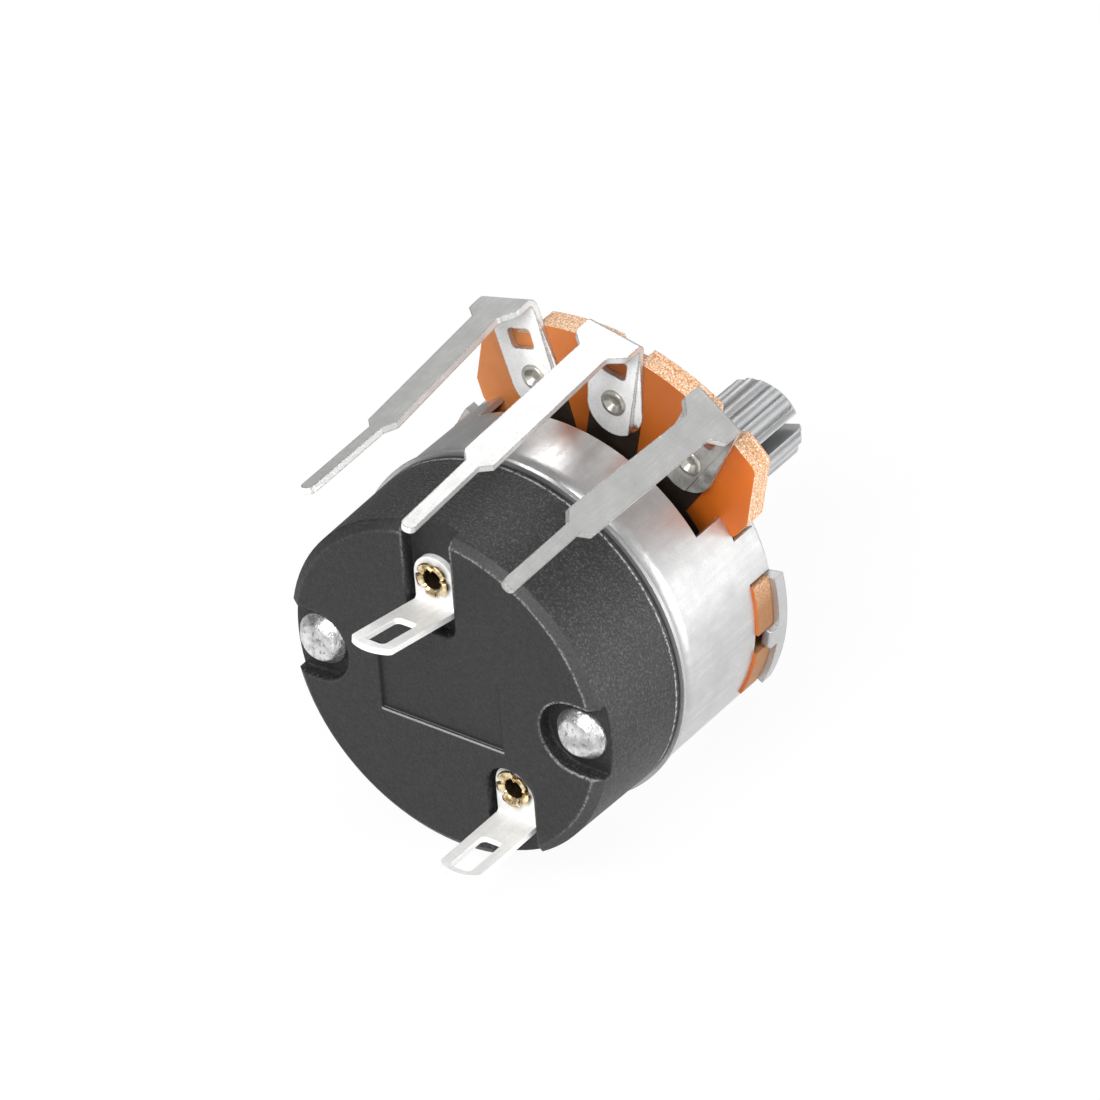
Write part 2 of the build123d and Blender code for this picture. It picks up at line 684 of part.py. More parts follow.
# Switch lugs, each with its eyelet
lug_rear = pocket_floor + lug_metal
strip_front = floor_front - contact_metal
for name, spot, bend, reach, tilt, slot_start in zip(
    lug_names, lug_spots, lug_bends, lug_reaches, lug_tilts, lug_slot_starts
):
    lug_x, lug_z = spot
    base_plane = switch_face(pocket_floor)
    lug_side = Plane(
        origin=base_plane.from_local_coords((lug_x, 0, 0)), x_dir=base_plane.y_dir, z_dir=base_plane.x_dir
    )
    corner = base_plane.from_local_coords((lug_x, lug_z - bend, 0))
    leg_base = Plane(origin=corner, x_dir=-base_plane.x_dir, z_dir=base_plane.y_dir)
    leg_plane = Plane(leg_base * Rot(tilt, 0, 0))
    half_metal = lug_metal / 2
    fold = (lug_z - bend + half_metal, half_metal)
    with BuildPart() as switch_lug:
        with BuildSketch(lug_side):
            with BuildLine():
                FilletPolyline(
                    (lug_z + lug_width / 2, half_metal),
                    fold,
                    (fold[0] + (reach + 1) * sin(radians(tilt)), (reach + 1) * cos(radians(tilt))),
                    radius=lug_bend_radius - half_metal,
                )
            trace(line_width=lug_metal)
        extrude(amount=lug_width / 2, both=True)
        with BuildSketch(base_plane):
            with Locations(spot):
                Circle(lug_width / 2)
                with Locations((0, -can_radius / 2)):
                    Rectangle(lug_width, can_radius)
        extrude(amount=2 * reach, both=True, mode=Mode.INTERSECT)
        tip_right, tip_left = (lug_width / 2, reach - lug_tip_rise), (-lug_width / 2, reach - lug_tip_rise)
        with BuildSketch(leg_plane) as leg:
            with BuildLine():
                Polyline(tip_left, (-lug_width / 2, -2), (lug_width / 2, -2), tip_right)
                ThreePointArc(tip_right, (0, reach), tip_left)
            make_face()
            fillet(leg.vertices().group_by(Axis.Y)[-1], lug_tip_corner)
        extrude(amount=lug_width + bend, both=True, mode=Mode.INTERSECT)
        with BuildSketch(base_plane):
            with Locations(spot):
                Circle(eyelet_shank / 2 + hole_clearance)
        extrude(amount=lug_metal, mode=Mode.SUBTRACT)
        with BuildSketch(leg_plane):
            with Locations((0, slot_start + lug_slot_length / 2)):
                RectangleRounded(lug_slot_width, lug_slot_length, lug_slot_corner)
        extrude(amount=2 * lug_metal, both=True, mode=Mode.SUBTRACT)
    finish(switch_lug, f"switch_lug_{name}")

    with BuildPart() as eyelet:
        with BuildSketch(switch_face(strip_front)):
            with Locations(spot):
                Circle(eyelet_flare / 2)
        extrude(amount=-contact_metal)
        with BuildSketch(switch_face(strip_front)):
            with Locations(spot):
                Circle(eyelet_shank / 2)
        extrude(amount=lug_rear - strip_front)
        with BuildSketch(switch_face(lug_rear)):
            with Locations(spot):
                Circle(eyelet_flare / 2)
        extrude(amount=eyelet_rise)
        flare_rim = eyelet.faces().sort_by(Axis.Y)[0].edges()
        fillet(flare_rim, eyelet_rise * 0.8)
        with BuildSketch(switch_face(lug_rear + 0.12)):
            with Locations(spot):
                with PolarLocations(eyelet_flare * 0.42, 6, start_angle=12):
                    Rectangle(eyelet_flare * 0.4, 0.16)
        extrude(amount=eyelet_rise, mode=Mode.SUBTRACT)
        with BuildSketch(switch_face(strip_front - contact_metal)):
            with Locations(spot):
                Circle(eyelet_bore / 2)
        extrude(amount=housing_length, mode=Mode.SUBTRACT)
    finish(eyelet, f"eyelet_{name}")

# Fixed contacts: strips under the eyelets, with an upright face in front of the lever's bridge
arm_half = arm_width / 2
upright_y = -arm_half - contact_metal - contact_gap - contact_metal / 2
upright_front = arm_front + 0.9
for name, reach, length in zip(lug_names, (4.45, 7.95), (1.95, 0.95)):
    spot = lug_spots[lug_names.index(name)]
    upright_plane = lever_face(upright_front, arm_turn)
    upright = upright_plane.from_local_coords((reach + length / 2, upright_y, 0))
    end = switch_face(upright_front).to_local_coords(upright)
    with BuildPart() as contact:
        with BuildSketch(switch_face(strip_front)):
            with Locations(spot):
                Circle(contact_strip_width / 2)
            if name == "upper":
                with Locations((spot[0], (spot[1] + end.Y) / 2)):
                    Rectangle(contact_strip_width, spot[1] - end.Y)
            else:
                with Locations(((spot[0] + end.X) / 2, spot[1])):
                    Rectangle(spot[0] - end.X, contact_strip_width)
            with Locations(spot):
                Circle(eyelet_shank / 2 + hole_clearance, mode=Mode.SUBTRACT)
        extrude(amount=contact_metal)
        with BuildSketch(upright_plane):
            with Locations((reach + length / 2, upright_y)):
                Rectangle(length, contact_metal)
        extrude(amount=floor_front - upright_front)
    finish(contact, f"contact_{name}")

# Rotor: moulded disc with a flatted bore and the rib that meets the can's stop
with BuildPart() as rotor:
    with BuildSketch(rear_face(rotor_front)):
        Circle(rotor_diameter / 2)
    extrude(amount=rotor_thickness)
    with BuildSketch(rear_face(rotor_hub_front)):
        Circle(rotor_hub_diameter / 2)
    extrude(amount=rotor_hub_rear - rotor_hub_front)
    with BuildSketch(rear_face(rotor_rear)):
        sector(stop_radius + rib_width / 2, 180 - rib_half_angle, 180 + rib_half_angle)
        Circle(stop_radius - rib_width / 2, mode=Mode.SUBTRACT)
    extrude(amount=rib_length)
    with BuildSketch(rear_face(rotor_hub_front)):
        Circle(tail_diameter / 2 + hole_clearance)
        Rectangle(tail_diameter * 2, tail_flats + 2 * hole_clearance, mode=Mode.INTERSECT)
    extrude(amount=rotor_hub_rear - rotor_hub_front, mode=Mode.SUBTRACT)
    fillet(rotor.edges().filter_by(GeomType.CIRCLE).sort_by(SortBy.RADIUS)[-2:], 0.25)
finish(rotor, "rotor")

# Wiper: spring plate on the rotor with one finger for the track and one for the ring
finger_front = board_rear + film_thickness + wiper_gap
with BuildPart() as wiper:
    with BuildSketch(rear_face(rotor_front - wiper_metal)):
        sector(rotor_diameter / 2 - 0.4, wiper_start, wiper_end)
        Circle(rotor_hub_diameter / 2 + 0.1, mode=Mode.SUBTRACT)
    extrude(amount=wiper_metal)
    for finger_diameter in ((track_inner + track_outer) / 2, (ring_inner + ring_outer) / 2):
        finger_root = rotor_front - wiper_metal / 2
        finger_touch = finger_front + wiper_metal / 2
        with BuildSketch(Plane.XY.offset(-finger_diameter / 2)):
            with BuildLine():
                Polyline(
                    (finger_reach, -finger_root),
                    (finger_reach - 0.4, -finger_root),
                    (finger_pad, -finger_touch),
                    (-finger_pad, -finger_touch),
                    (-3 * finger_pad, -finger_touch - 0.35),
                )
            trace(line_width=wiper_metal)
        extrude(amount=finger_width / 2, both=True)
finish(wiper, "wiper")

# Drive plate: driven by the shaft's flats, with a dog bent rearward into the switch
dog_turn = switch_turn + pivot_angle + shaft_travel
dog_end = disc_rear + lever_play + dog_overlap - 0.5
with BuildPart() as drive_plate:
    with BuildSketch(turned_face(rotor_hub_rear, dog_turn)):
        Circle(rotor_hub_diameter / 2)
        with Locations((dog_radius / 2 + drive_metal / 4, 0)):
            Rectangle(dog_radius + drive_metal / 2, dog_width)
    extrude(amount=drive_metal)
    with BuildSketch(turned_face(rotor_hub_rear, dog_turn)):
        with Locations((dog_radius, 0)):
            Rectangle(drive_metal, dog_width)
    extrude(amount=dog_end - rotor_hub_rear)
    with BuildSketch(rear_face(rotor_hub_rear)):
        Circle(tail_diameter / 2 + hole_clearance)
        Rectangle(tail_diameter * 2, tail_flats + 2 * hole_clearance, mode=Mode.INTERSECT)
    extrude(amount=drive_metal, mode=Mode.SUBTRACT)
finish(drive_plate, "drive_plate")

# Switch lever: hub on the housing's post, fork for the dog, contact arm and spring arm
with BuildPart() as switch_lever:
    with BuildSketch(lever_face(disc_rear + lever_play)):
        Circle(lever_hub_diameter / 2)
    extrude(amount=floor_front - disc_rear - 2 * lever_play)
    with BuildSketch(lever_face(disc_rear + lever_play)):
        for turn in (prong_angle, -prong_angle):
            with Locations(at(prong_length / 2, turn)):
                Rectangle(prong_length, prong_width, rotation=turn)
            with Locations(at(prong_length, turn)):
                Circle(prong_width / 2)
    extrude(amount=prong_thickness)
    with BuildSketch(lever_face(arm_front, arm_turn)):
        with Locations((arm_length / 2, 0)):
            Rectangle(arm_length, arm_width)
    extrude(amount=arm_thickness)
    with BuildSketch(lever_face(arm_front, spring_arm_turn)):
        with Locations((spring_arm_length / 2, 0)):
            Rectangle(spring_arm_length, spring_bead)
        with Locations((spring_arm_length, 0)):
            Circle(spring_bead / 2)
    extrude(amount=arm_thickness * 0.7)
    with BuildSketch(lever_face(disc_rear + lever_play)):
        Circle(post_diameter / 2 + running_clearance)
    extrude(amount=floor_front - disc_rear, mode=Mode.SUBTRACT)
finish(switch_lever, "switch_lever")

# Bridge on the lever's arm that joins both fixed contacts
with BuildPart() as bridge_contact:
    with BuildSketch(lever_face(arm_front + 0.3, arm_turn)):
        with Locations((arm_length * 0.77, -arm_half - contact_metal / 2)):
            Rectangle(arm_length * 0.54, contact_metal)
    extrude(amount=arm_thickness - 0.6)
finish(bridge_contact, "bridge_contact")

# Snap spring: bow between its seat in the housing and the lever's spring arm
with BuildPart() as snap_spring:
    with BuildSketch(spring_face(arm_front + 0.1)):
        middle_face = spring_face(arm_front)
        tip = lever_face(arm_front, spring_arm_turn).from_local_coords((spring_arm_length, 0, 0))
        span = middle_face.to_local_coords(tip).X - spring_bead - spring_clearance
        with BuildLine():
            ThreePointArc((0, 0), (span / 2, span / 3), (span, 0))
        trace(line_width=spring_metal)
        with Locations((0, 0), (span, 0)):
            Circle(spring_bead / 2)
    extrude(amount=arm_thickness * 0.6)
finish(snap_spring, "snap_spring")
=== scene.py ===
"""Looks of the switched potentiometer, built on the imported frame.

Lengths are in metres, unless a comment or docstring says millimetres. The shaft lies along Y:
the panel face is at zero and the switch is at the lowest Y.
"""
import json
import math
import random

import bmesh
import bpy
from mathutils import Matrix, Vector


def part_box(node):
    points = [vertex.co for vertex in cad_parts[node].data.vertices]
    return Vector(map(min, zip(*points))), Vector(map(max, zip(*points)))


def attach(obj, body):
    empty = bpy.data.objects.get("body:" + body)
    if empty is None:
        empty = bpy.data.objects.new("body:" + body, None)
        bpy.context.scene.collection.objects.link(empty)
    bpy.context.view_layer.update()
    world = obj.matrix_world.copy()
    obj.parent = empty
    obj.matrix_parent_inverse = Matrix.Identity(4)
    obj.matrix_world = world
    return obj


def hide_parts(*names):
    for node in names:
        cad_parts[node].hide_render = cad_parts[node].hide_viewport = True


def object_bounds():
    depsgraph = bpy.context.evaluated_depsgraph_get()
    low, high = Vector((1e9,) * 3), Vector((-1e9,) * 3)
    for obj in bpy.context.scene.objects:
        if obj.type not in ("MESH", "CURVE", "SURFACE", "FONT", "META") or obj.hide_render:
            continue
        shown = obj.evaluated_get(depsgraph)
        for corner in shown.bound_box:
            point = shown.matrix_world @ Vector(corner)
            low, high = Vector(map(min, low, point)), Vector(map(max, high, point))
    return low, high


MM = 0.001
FULL_TURN = 2 * math.pi
FLOOR_RADIUS = 3.0
FLOOR_GAP = 0.02 * MM
BODY_MIDDLE = -8 * MM

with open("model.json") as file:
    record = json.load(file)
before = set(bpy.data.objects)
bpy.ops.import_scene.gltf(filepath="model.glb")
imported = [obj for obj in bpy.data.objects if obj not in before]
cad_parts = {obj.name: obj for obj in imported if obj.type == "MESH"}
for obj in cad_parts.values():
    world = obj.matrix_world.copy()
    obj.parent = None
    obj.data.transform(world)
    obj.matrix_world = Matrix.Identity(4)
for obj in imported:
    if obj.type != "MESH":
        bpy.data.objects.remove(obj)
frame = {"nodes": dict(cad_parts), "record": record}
cad_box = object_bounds()
nodes = frame["nodes"]

# The switch: places along Y, the rear face's outer part, and the rectangle sunk into that face
HOUSING_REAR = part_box("switch_housing")[0].y
EYELET_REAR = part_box("eyelet_upper")[0].y
# Where a painted highlight line runs round the housing near its front edge, with painted shade on the
# black in front of it
FRONT_HIGHLIGHT_LINE = -11.3 * MM
RIM_INNER, RIM_OUTER = 6.5 * MM, 8 * MM
SWITCH_TURN = math.radians(11.65)
PANEL_X, PANEL_Z = -0.3 * MM, -0.45 * MM
PANEL_WIDTH, PANEL_HEIGHT = 9.1 * MM, 4.95 * MM

# The potentiometer: where its right terminal begins, for the painted shade on its blade; half its
# board's width, for the painted light across the board; and the height of the side windows that show
# the board's edge, for the painted shade on that edge
RIGHT_TERMINAL_FROM, RIGHT_TERMINAL_TO = 3 * MM, 5 * MM
BOARD_SIDE = 12 * MM
BOARD_WINDOW_FROM, BOARD_WINDOW_TO = 3 * MM, 6 * MM

# Finishes that the record's slots don't tell apart, by how the node's name starts
OWN_FINISHES = {"switch_lug": "lug_metal", "terminal_rivet": "dull_rivet"}


def grey(level):
    return (level, level, level)


def times(color, factor):
    """A colour made darker or lighter."""
    return tuple(min(1.0, factor * part) for part in color)


class Graph:
    """Short calls that add nodes to a node tree."""

    def __init__(self, tree):
        self.tree = tree

    def feed(self, value, socket):
        """Links an output to a socket, or sets the socket to a plain value."""
        if isinstance(value, bpy.types.NodeSocket):
            self.tree.links.new(value, socket)
        elif socket.type == "RGBA":
            socket.default_value = (*value, 1)
        else:
            socket.default_value = value

    def node(self, kind, inputs, output=0, **settings):
        """Adds a node, sets or links its inputs and gives back one output."""
        made = self.tree.nodes.new(kind)
        for key, value in settings.items():
            setattr(made, key, value)
        for key, value in inputs.items():
            self.feed(value, made.inputs[key])
        return made.outputs[output]

    def math(self, operation, a, b=0.0):
        return self.node("ShaderNodeMath", {0: a, 1: b}, operation=operation)

    def product(self, first, *others):
        """All the factors multiplied."""
        for factor in others:
            first = self.math("MULTIPLY", first, factor)
        return first

    def span(self, value, low, high, first, last):
        """Straight change from first to last as a value goes from low to high."""
        inputs = {"Value": value, "From Min": low, "From Max": high, "To Min": first, "To Max": last}
        return self.node("ShaderNodeMapRange", inputs)

    def near(self, value, place, full, gone):
        """1 where a value is within full of a place, down to 0 where it is gone away from it."""
        distance = self.math("ABSOLUTE", self.math("SUBTRACT", value, place))
        return self.span(distance, full, gone, 1.0, 0.0)

    def parts(self, vector):
        """The three numbers of a vector."""
        split = self.tree.nodes.new("ShaderNodeSeparateXYZ")
        self.tree.links.new(vector, split.inputs[0])
        return split.outputs

    def coordinates(self, output):
        return self.tree.nodes.new("ShaderNodeTexCoord").outputs[output]


class Look(Graph):
    """One procedural material. Feature sizes are given in millimetres on the object."""

    def __init__(self, name, metallic=0.0, specular=0.5, coat=0.0):
        self.material = bpy.data.materials.new(name)
        self.material.use_nodes = True
        super().__init__(self.material.node_tree)
        self.shader = self.tree.nodes["Principled BSDF"]
        self.shader.inputs["Metallic"].default_value = metallic
        self.shader.inputs["Specular IOR Level"].default_value = specular
        self.shader.inputs["Coat Weight"].default_value = coat
        self.shader.inputs["Coat Roughness"].default_value = 0.25
        self.place = self.coordinates("Object")
        self.surface = None

    def vector(self, operation, a, b, output=0):
        return self.node("ShaderNodeVectorMath", {0: a, 1: b}, output, operation=operation)

    def facing(self):
        """1 on faces across the shaft's axis, 0 on faces along it."""
        return self.math("ABSOLUTE", self.parts(self.coordinates("Normal"))[1])

    def noise(self, size, stretch=(1, 1, 1), detail=3.0, rough=0.55):
        """Noise with features of a size, longer along the axes whose stretch is above one."""
        scale = [1 / (size * MM * s) for s in stretch]
        spot = self.vector("MULTIPLY", self.place, scale)
        inputs = {"Vector": spot, "Scale": 1.0, "Detail": detail, "Roughness": rough}
        return self.node("ShaderNodeTexNoise", inputs)

    def ramp(self, value, *stops):
        """Number or colour that follows a value, through (place, number or colour) stops."""
        made = self.tree.nodes.new("ShaderNodeValToRGB")
        band = made.color_ramp
        while len(band.elements) < len(stops):
            band.elements.new(0.5)
        for element, (spot, level) in zip(band.elements, stops):
            element.position = spot
            element.color = (*level, 1) if isinstance(level, tuple) else (*grey(level), 1)
        self.tree.links.new(value, made.inputs[0])
        return made.outputs[0]

    def mix(self, share, first, second):
        """Blend of two colours."""
        return self.node("ShaderNodeMix", {0: share, 6: first, 7: second}, 2, data_type="RGBA")

    def mottle(self, value, low, high, first, second):
        """First colour where a value is below low, second where it is above high."""
        return self.mix(self.ramp(value, (low, 0.0), (high, 1.0)), first, second)

    def rounded(self, radius):
        """Normal with its edges rounded by a radius in millimetres."""
        return self.node("ShaderNodeBevel", {"Radius": radius * MM}, samples=6)

    def edges(self, radius):
        """1 on edges sharper than a radius in millimetres, 0 on flat and gently curved parts."""
        plain_normal = self.tree.nodes.new("ShaderNodeNewGeometry").outputs["Normal"]
        along = self.vector("DOT_PRODUCT", self.rounded(radius), plain_normal, "Value")
        return self.span(along, 1.0, 0.93, 0.0, 1.0)

    def soften(self, radius):
        """Rounds the shaded edges by a radius in millimetres."""
        self.surface = self.rounded(radius)

    def bump(self, height, depth, strength):
        """Adds relief of a depth in millimetres on top of what is there."""
        inputs = {"Height": height, "Distance": depth * MM, "Strength": strength}
        self.surface = self.node("ShaderNodeBump", {**inputs, "Normal": self.surface})

    def done(self, color, roughness):
        """Links colour, roughness and relief to the shader."""
        linked = {"Base Color": color, "Roughness": roughness, "Normal": self.surface}
        for key, value in linked.items():
            self.tree.links.new(value, self.shader.inputs[key])
        return self.material


# Materials

def panel_lines(look, x, z):
    """Shares of painted highlight and of painted shadow along the edges of the sunk rectangle on the
    rear face.
    """
    cosine, sine = math.cos(SWITCH_TURN), math.sin(SWITCH_TURN)
    half_width, half_height = PANEL_WIDTH / 2, PANEL_HEIGHT / 2
    fade = 0.1 * MM
    x, z = (
        look.math("ADD", look.product(x, cosine), look.product(z, sine)),
        look.math("ADD", look.product(x, -sine), look.product(z, cosine)),
    )
    within_x = look.near(x, PANEL_X, half_width, half_width + fade)
    within_z = look.near(z, PANEL_Z, half_height, half_height + fade)
    from_middle = look.math("ABSOLUTE", look.math("SUBTRACT", x, PANEL_X))
    lower_edge = PANEL_Z - half_height
    ledge = look.near(z, lower_edge - 0.06 * MM, 0.04 * MM, 0.14 * MM)
    shade = look.near(z, lower_edge + 0.16 * MM, 0.06 * MM, 0.16 * MM)
    sides = look.near(from_middle, half_width - 0.08 * MM, 0.05 * MM, 0.16 * MM)
    light = look.product(ledge, within_x)
    dark = look.math("MAXIMUM", look.product(shade, within_x), look.product(sides, within_z))
    return light, dark


def black_body(look, y, facing, coarse):
    """Near-black, with painted shade in front of the painted highlight line near the front edge, and
    pale flecks, most on the round side.
    """
    dark, light = (0.007, 0.007, 0.008), (0.016, 0.016, 0.017)
    front_painted_shade, fleck = grey(0.007), grey(0.16)
    # Painted shade on the band in front of the painted highlight line
    front = look.span(y, FRONT_HIGHLIGHT_LINE, FRONT_HIGHLIGHT_LINE + 0.1 * MM, 0.0, 0.7)
    flecks = look.ramp(look.noise(0.17, rough=0.8), (0.52, 0.0), (0.62, 1.0))
    flecks = look.product(flecks, look.span(facing, 0.4, 0.9, 0.38, 0.06))
    body = look.mottle(coarse, 0.3, 0.7, dark, light)
    return look.mix(flecks, look.mix(front, body, front_painted_shade), fleck)


def black_plastic():
    """Moulded matt black: pebbled grain, a painted sheen on the rear chamfer, a rim edge that is partly
    rubbing wear and partly painted highlight, a painted highlight line near the front edge, and a
    rectangle lined with painted highlight and painted shadow.
    """
    look = Look("black_plastic")
    wear_and_highlight_grey, painted_sheen_grey, painted_shadow_black = grey(0.6), grey(0.13), grey(0.002)
    x, y, z = look.parts(look.place)
    facing = look.facing()
    coarse = look.noise(0.3, rough=0.7)
    grain = look.noise(0.16, rough=0.7)
    broken = look.ramp(look.noise(0.2, detail=4.0, rough=0.8), (0.44, 0.0), (0.56, 1.0))
    radius = look.math("SQRT", look.math("ADD", look.product(x, x), look.product(z, z)))
    outside = look.span(radius, RIM_INNER, RIM_OUTER, 0.0, 1.0)
    on_rear = look.span(y, HOUSING_REAR + 0.1 * MM, HOUSING_REAR + 0.35 * MM, 1.0, 0.0)
    # Lighter towards the upper right, where the light falls: it weights the painted sheen and the
    # painted rim highlight
    upper_right = look.span(look.math("ADD", x, z), 2 * MM, 10 * MM, 0.1, 1.0)

    # Painted sheen on the chamfer round the rear face, broken by the grain
    slope = look.product(look.span(facing, 0.6, 0.8, 0, 1), look.span(facing, 0.93, 0.98, 1, 0))
    glint = look.ramp(grain, (0.3, 0.2), (0.6, 1.0))
    sheen = look.product(slope, upper_right, outside, glint, 0.22)
    color = look.mix(sheen, black_body(look, y, facing, coarse), painted_sheen_grey)

    # Broken light lines: along the rear rim's edges, partly rubbing and partly a painted highlight,
    # kept to the upper right where the light falls; and the painted highlight line near the front edge
    rims = look.product(look.edges(0.3), outside, on_rear, upper_right)
    line = look.near(y, FRONT_HIGHLIGHT_LINE, 0.03 * MM, 0.1 * MM)
    wear_and_highlight = look.math("MAXIMUM", look.product(rims, broken), look.product(line, broken))
    color = look.mix(look.product(wear_and_highlight, 0.8), color, wear_and_highlight_grey)

    # Painted shadow along the rectangle's sides and lower edge, and a painted highlight on the ledge
    # below it
    light, dark = panel_lines(look, x, z)
    flat_rear = look.product(on_rear, look.span(facing, 0.5, 0.9, 0.0, 1.0))
    color = look.mix(look.product(dark, 0.85), color, painted_shadow_black)
    color = look.mix(look.product(light, flat_rear, 0.5), color, wear_and_highlight_grey)

    look.soften(0.3)
    look.bump(coarse, 0.05, 0.7)
    look.bump(grain, 0.06, 1.0)
    roughness = look.span(grain, 0.3, 0.7, 0.36, 0.62)
    return look.done(color, look.math("SUBTRACT", roughness, look.product(rims, 0.1)))


def dull_faces(look, shade, cloud, base, metallic):
    """Makes the faces across the axis dull and lighter with painted light, and gives them painted shade
    on the right terminal.
    """
    shade_dark, shade_pale, dull_metallic = (0.2, 0.19, 0.18), (0.5, 0.49, 0.47), 0.1
    faces = look.ramp(look.facing(), (0.7, 0.0), (0.9, 1.0))
    # The faces across the axis made lighter: painted light
    bright = look.mottle(cloud, 0.3, 0.6, base, times(base, 1.22))
    # Painted shade, mottled, on the right terminal's faces across the axis
    painted_shade = look.mottle(cloud, 0.35, 0.6, shade_dark, shade_pale)
    x = look.parts(look.place)[0]
    on_right = look.span(x, RIGHT_TERMINAL_FROM, RIGHT_TERMINAL_TO, 0.0, 1.0)
    look.feed(look.span(faces, 0, 1, metallic, dull_metallic), look.shader.inputs["Metallic"])
    return look.mix(faces, shade, look.mix(on_right, bright, painted_shade))


def sheet_metal(name, base, metallic, rough, streak, cut, mottle=0.08, dull=False, wave=0.0):
    """Plated sheet: faint streaks along the axis, fine pits and speckled cut edges.

    streak is the width of the streaks and wave the depth of the sheet's unevenness, in
    millimetres, cut is the colour of the cut edges, and dull changes the faces across the axis.
    """
    look = Look(name, metallic=metallic)
    streaks = look.noise(streak, stretch=(1, 12, 1), detail=4.0)
    cloud = look.noise(1.6, detail=4.0, rough=0.65)
    pits = look.ramp(look.noise(0.13, rough=0.7), (0.32, 0.0), (0.44, 1.0))
    speckle = look.ramp(look.noise(0.12, rough=0.75), (0.42, 0.15), (0.56, 0.9))
    dark = times(base, 1 - 2 * mottle)
    shade = look.mottle(cloud, 0.3, 0.7, dark, base)
    shade = look.mix(look.span(streaks, 0.35, 0.65, 0.0, 0.75), shade, dark)
    if dull:
        shade = dull_faces(look, shade, cloud, base, metallic)
    shade = look.mix(look.span(pits, 0, 1, 0.4, 0.0), shade, times(base, 0.55))
    shade = look.mix(look.product(look.edges(0.13), speckle), shade, cut)
    look.soften(0.06)
    if wave:
        look.bump(look.noise(2.4, stretch=(1, 1.6, 1), detail=2.0), wave, 0.5)
    look.bump(streaks, 0.004, 0.5)
    look.bump(pits, 0.006, 0.6)
    roughness = look.span(streaks, 0.3, 0.7, rough, rough + 0.08)
    return look.done(shade, look.math("ADD", roughness, look.span(pits, 0, 1, 0.1, 0)))


def tinplate():
    """The can's drawn sheet, slightly wavy, with coppery cut edges."""
    copper = (0.85, 0.66, 0.54)
    return sheet_metal("tinplate", grey(0.7), 0.78, 0.3, streak=0.4, cut=copper, mottle=0.12, wave=0.12)


def zinc_plate():
    """The pressed plates, with dark cut edges."""
    base, dark = (0.62, 0.62, 0.625), (0.3, 0.29, 0.28)
    return sheet_metal("zinc_plate", base, 0.75, 0.28, streak=0.4, cut=dark)


def tinned_metal():
    """The terminals: brushed strips, dull blades made lighter with painted light, painted shade on the
    right blade, and dark cut edges.
    """
    base, dark = (0.83, 0.828, 0.82), (0.2, 0.19, 0.18)
    return sheet_metal("tinned_metal", base, 0.8, 0.34, streak=0.16, cut=dark, mottle=0.13, dull=True)


def lug_metal():
    """The same tin on the lugs, duller, and made paler with bright cut edges as painted light against
    the shade of the housing.
    """
    base, bright = (0.98, 0.975, 0.96), (1.0, 1.0, 0.99)
    return sheet_metal("lug_metal", base, 0.08, 0.34, streak=0.3, cut=bright, mottle=0.1)


def turned_metal(name, base, rough):
    """Machined bar: grooves round the axis, draw lines along it and light wear."""
    look = Look(name, metallic=0.65)
    polished = (0.8, 0.8, 0.81)
    grooves = look.noise(0.06, stretch=(200, 1, 200), detail=2.0)
    draw = look.noise(0.12, stretch=(1, 30, 1))
    shade = look.mottle(look.noise(1.4), 0.3, 0.7, base, times(base, 1.12))
    shade = look.mix(look.span(draw, 0.35, 0.65, 0, 0.35), shade, times(base, 0.6))
    shade = look.mix(look.product(look.edges(0.12), 0.5), shade, polished)
    look.soften(0.1)
    look.bump(grooves, 0.003, 0.4)
    look.bump(draw, 0.004, 0.4)
    return look.done(shade, look.span(draw, 0.3, 0.7, rough, rough + 0.14))


def rivet_metal():
    """Bright rivet wire, dented and scuffed where the tool struck its head."""
    look = Look("rivet_metal", metallic=0.88)
    dull, bright, scuff = (0.5, 0.5, 0.505), grey(0.9), (0.2, 0.2, 0.205)
    dents = look.noise(0.4, detail=2.0)
    fine = look.noise(0.22, stretch=(1, 1, 2), detail=5.0, rough=0.7)
    scuffs = look.ramp(fine, (0.38, 0.8), (0.46, 0.0))
    shade = look.mix(scuffs, look.mottle(look.noise(0.8), 0.35, 0.65, dull, bright), scuff)
    look.soften(0.12)
    look.bump(dents, 0.1, 0.6)
    look.bump(fine, 0.02, 0.7)
    return look.done(shade, look.span(fine, 0.3, 0.7, 0.42, 0.22))


def brass():
    """Bright brass, darker in its folds, with painted shade deep inside."""
    look = Look("brass", metallic=0.95)
    fold, bright, painted_hole_shade = (0.4, 0.26, 0.11), (0.96, 0.8, 0.52), (0.09, 0.05, 0.02)
    fine = look.noise(0.1, detail=4.0, rough=0.7)
    cloud = look.noise(0.4)
    y = look.parts(look.place)[1]
    # Painted shade going down inside the eyelet
    down = look.span(y, EYELET_REAR + 0.2 * MM, EYELET_REAR + 0.4 * MM, 0.0, 0.8)
    shade = look.mix(down, look.mottle(cloud, 0.34, 0.56, fold, bright), painted_hole_shade)
    look.soften(0.05)
    look.bump(cloud, 0.05, 0.6)
    look.bump(fine, 0.006, 0.4)
    return look.done(shade, look.span(fine, 0.3, 0.7, 0.14, 0.28))


